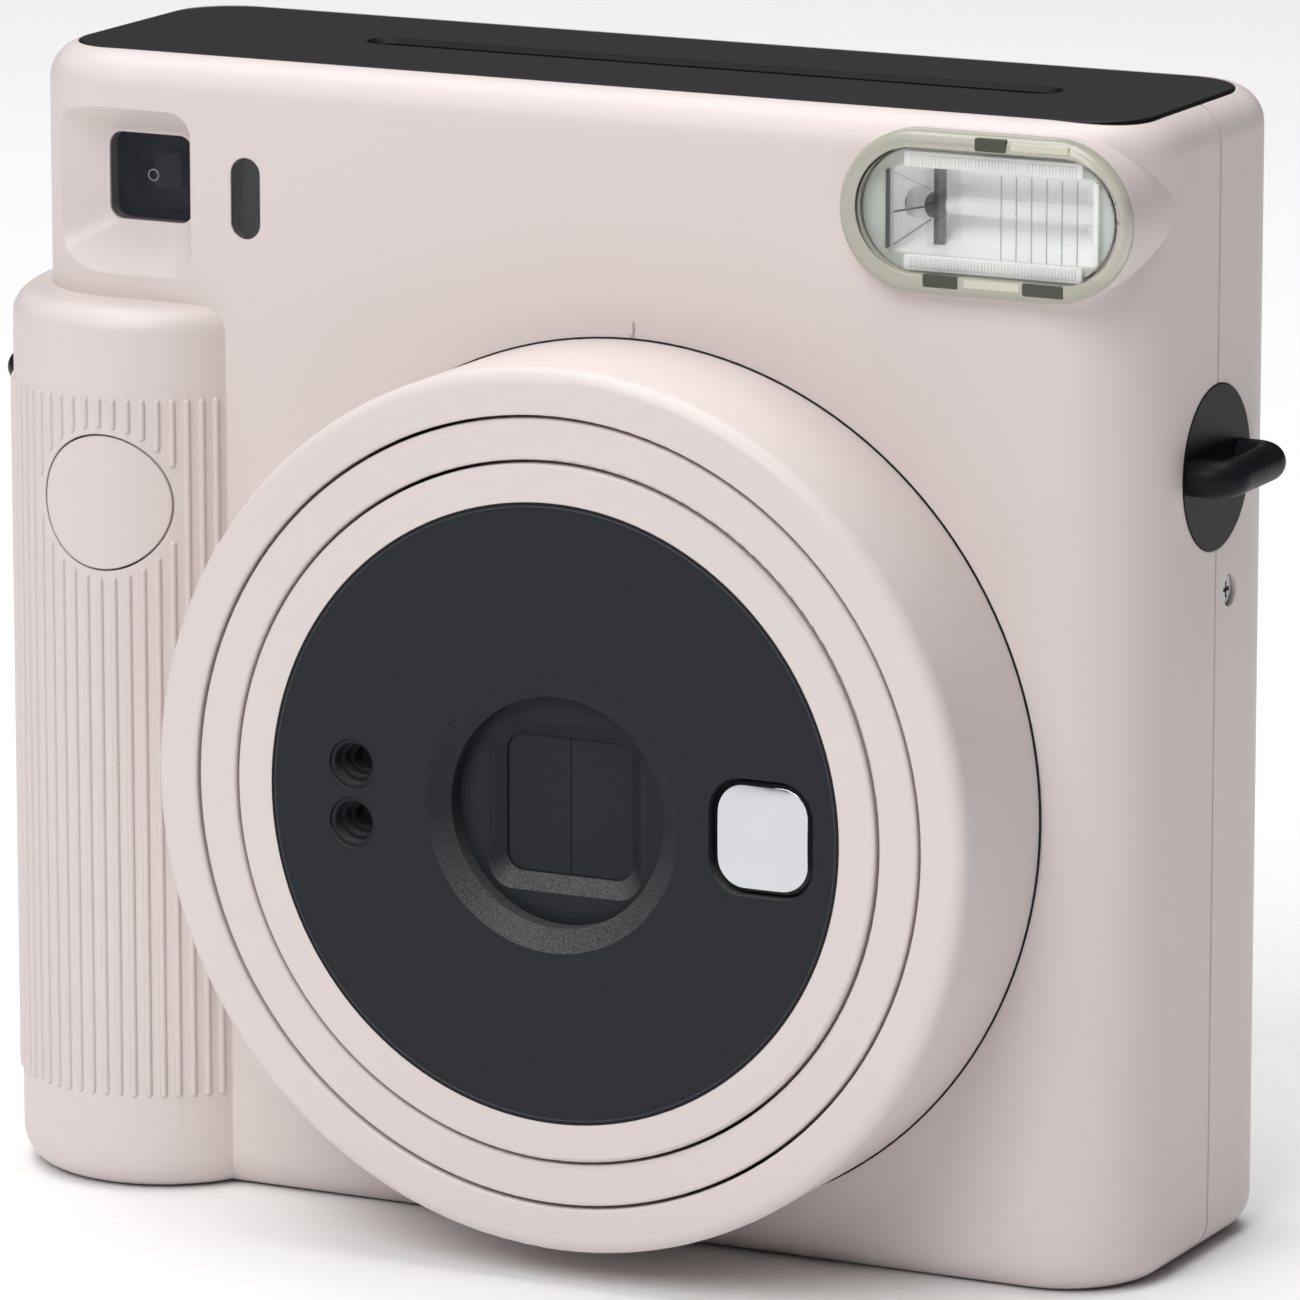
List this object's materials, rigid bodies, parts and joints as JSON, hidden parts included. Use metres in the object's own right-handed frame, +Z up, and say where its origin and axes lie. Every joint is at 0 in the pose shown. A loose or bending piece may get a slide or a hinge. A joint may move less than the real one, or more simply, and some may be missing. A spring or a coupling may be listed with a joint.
{
  "type": "instant camera",
  "caption": "Boxy instant film camera with a ribbed side grip, a wide turning lens dial, a flash, a viewfinder, a black top with a film slot, and strap loops.",
  "frame": {"origin": "middle of the camera's overall width and depth, on the surface it stands on", "axes": "+Z up; the lens looks along -Y; +X is to the right seen from in front of the lens, away from the grip"},
  "size_m": [0.1416, 0.0576, 0.1186],
  "materials": {
    "shell": "fine satin",
    "black_trim": "matt",
    "inner_black": "matt",
    "blade": "matt black",
    "clear": "clear",
    "smoked": "smoked",
    "mirror": "polished",
    "bright": "bright",
    "tube_glass": "clear",
    "rubber": "soft",
    "roller_steel": "ground",
    "screw_steel": "plain",
    "gear_plastic": "natural",
    "board": "coated",
    "chips": "matt",
    "cell": "wrapped"
  },
  "bodies": {
    "body": {"front_cover": "shell", "rear_cover": "shell", "top_panel": "black_trim", "eyepiece_frame": "black_trim", "strap_lug_right": "black_trim", "strap_lug_left": "black_trim", "viewfinder_tube": "inner_black", "chassis": "inner_black", "light_tunnel": "inner_black", "lens_guide_tube": "inner_black", "gear_plate": "inner_black", "roller_bracket": "inner_black", "battery_tray": "inner_black", "viewfinder_objective": "clear", "eyepiece_lens": "clear", "flash_window": "clear", "flash_diffuser": "clear", "viewfinder_window": "smoked", "light_sensor_window": "smoked", "flash_reflector": "bright", "flash_tube": "tube_glass", "flash_holders": "rubber", "hinge_pins": "roller_steel", "case_screws": "screw_steel", "button_spring": "screw_steel", "battery_contacts": "screw_steel", "drive_motor": "screw_steel", "main_board": "board", "switch_parts": "board", "board_parts": "chips", "flash_capacitor": "chips", "battery_cells": "cell"},
    "dial": {"lens_dial": "shell", "dial_retainer": "inner_black"},
    "barrel_outer": {"barrel_outer_stage": "shell"},
    "barrel_inner": {"barrel_inner_stage": "shell", "lens_panel": "black_trim", "lens_bezel": "black_trim", "selfie_mirror": "mirror", "sensor_sleeves": "black_trim", "lens_board": "inner_black", "front_lens": "clear", "shutter_case": "inner_black", "rear_lens": "clear"},
    "cover_left": {"lens_cover_left": "black_trim"},
    "cover_right": {"lens_cover_right": "black_trim"},
    "blade_left": {"shutter_blade_left": "blade"},
    "blade_right": {"shutter_blade_right": "blade"},
    "button": {"shutter_button": "shell"},
    "flap": {"exit_flap": "black_trim"},
    "rear_door": {"film_door": "shell", "door_windows": "smoked", "pressure_springs": "screw_steel"},
    "latch": {"door_latch": "shell"},
    "battery_lid": {"battery_door": "shell"},
    "roller": {"drive_roller": "roller_steel", "roller_gear": "gear_plastic"},
    "pinch": {"pinch_roller": "roller_steel"},
    "idler": {"idler_gear": "gear_plastic"},
    "pinion": {"motor_pinion": "gear_plastic"}
  },
  "joints": [
    {"name": "dial_turn", "type": "hinge", "parent": "body", "child": "dial", "pos_m": [0.01075, -0.02, 0.0486], "axis": [0, -1, 0], "range_deg": [0, 90]},
    {"name": "barrel_outer_slide", "type": "slide", "parent": "body", "child": "barrel_outer", "axis": [0, -1, 0], "range_m": [0, 0.005]},
    {"name": "barrel_inner_slide", "type": "slide", "parent": "barrel_outer", "child": "barrel_inner", "axis": [0, -1, 0], "range_m": [0, 0.005]},
    {"name": "cover_left_slide", "type": "slide", "parent": "barrel_inner", "child": "cover_left", "axis": [-1, 0, 0], "range_m": [0, 0.0074]},
    {"name": "cover_right_slide", "type": "slide", "parent": "barrel_inner", "child": "cover_right", "axis": [1, 0, 0], "range_m": [0, 0.0074]},
    {"name": "blade_left_swing", "type": "hinge", "parent": "barrel_inner", "child": "blade_left", "pos_m": [0.01075, -0.0155, 0.0406], "axis": [0, -1, 0], "range_deg": [0, 60], "stiffness_Nm_per_rad": 0.0002, "springref_deg": -22.92},
    {"name": "blade_right_swing", "type": "hinge", "parent": "barrel_inner", "child": "blade_right", "pos_m": [0.01075, -0.015, 0.0406], "axis": [0, -1, 0], "range_deg": [-60, 0]},
    {"name": "button_press", "type": "slide", "parent": "body", "child": "button", "axis": [0, 1, 0], "range_m": [0, 0.001], "stiffness_N_per_m": 300, "springref_m": -0.002},
    {"name": "flap_swing", "type": "hinge", "parent": "body", "child": "flap", "pos_m": [0.0095, 0.0102, 0.11735], "axis": [-1, 0, 0], "range_deg": [0, 70], "stiffness_Nm_per_rad": 0.0003},
    {"name": "rear_door_swing", "type": "hinge", "parent": "body", "child": "rear_door", "pos_m": [0.0545, 0.0269, 0.0555], "axis": [0, 0, -1], "range_deg": [0, 95]},
    {"name": "latch_slide", "type": "slide", "parent": "body", "child": "latch", "axis": [0, 0, -1], "range_m": [0, 0.004], "stiffness_N_per_m": 150, "springref_m": -0.001},
    {"name": "battery_lid_swing", "type": "hinge", "parent": "body", "child": "battery_lid", "pos_m": [-0.049, 0.0269, 0.012], "axis": [-1, 0, 0], "range_deg": [0, 90]},
    {"name": "roller_turn", "type": "hinge", "parent": "body", "child": "roller", "pos_m": [0.0095, 0.0117, 0.106], "axis": [1, 0, 0], "continuous": true},
    {"name": "pinch_turn", "type": "hinge", "parent": "body", "child": "pinch", "pos_m": [0.0095, 0.007, 0.106], "axis": [1, 0, 0], "continuous": true},
    {"name": "idler_turn", "type": "hinge", "parent": "body", "child": "idler", "pos_m": [-0.0353, 0.0117, 0.09225], "axis": [1, 0, 0], "continuous": true},
    {"name": "pinion_turn", "type": "hinge", "parent": "body", "child": "pinion", "pos_m": [-0.0353, 0.0117, 0.0812], "axis": [1, 0, 0], "continuous": true}
  ],
  "couplings": [
    {"joint": "barrel_outer_slide", "follows": "dial_turn", "m_per_rad": 0.0031831},
    {"joint": "barrel_inner_slide", "follows": "dial_turn", "m_per_rad": 0.0031831},
    {"joint": "cover_left_slide", "follows": "dial_turn", "m_per_rad": 0.004711},
    {"joint": "cover_right_slide", "follows": "dial_turn", "m_per_rad": 0.004711},
    {"joint": "blade_right_swing", "follows": "blade_left_swing", "ratio": -1},
    {"joint": "pinch_turn", "follows": "roller_turn", "ratio": -1},
    {"joint": "idler_turn", "follows": "roller_turn", "ratio": -0.66667},
    {"joint": "pinion_turn", "follows": "roller_turn", "ratio": 2}
  ]
}
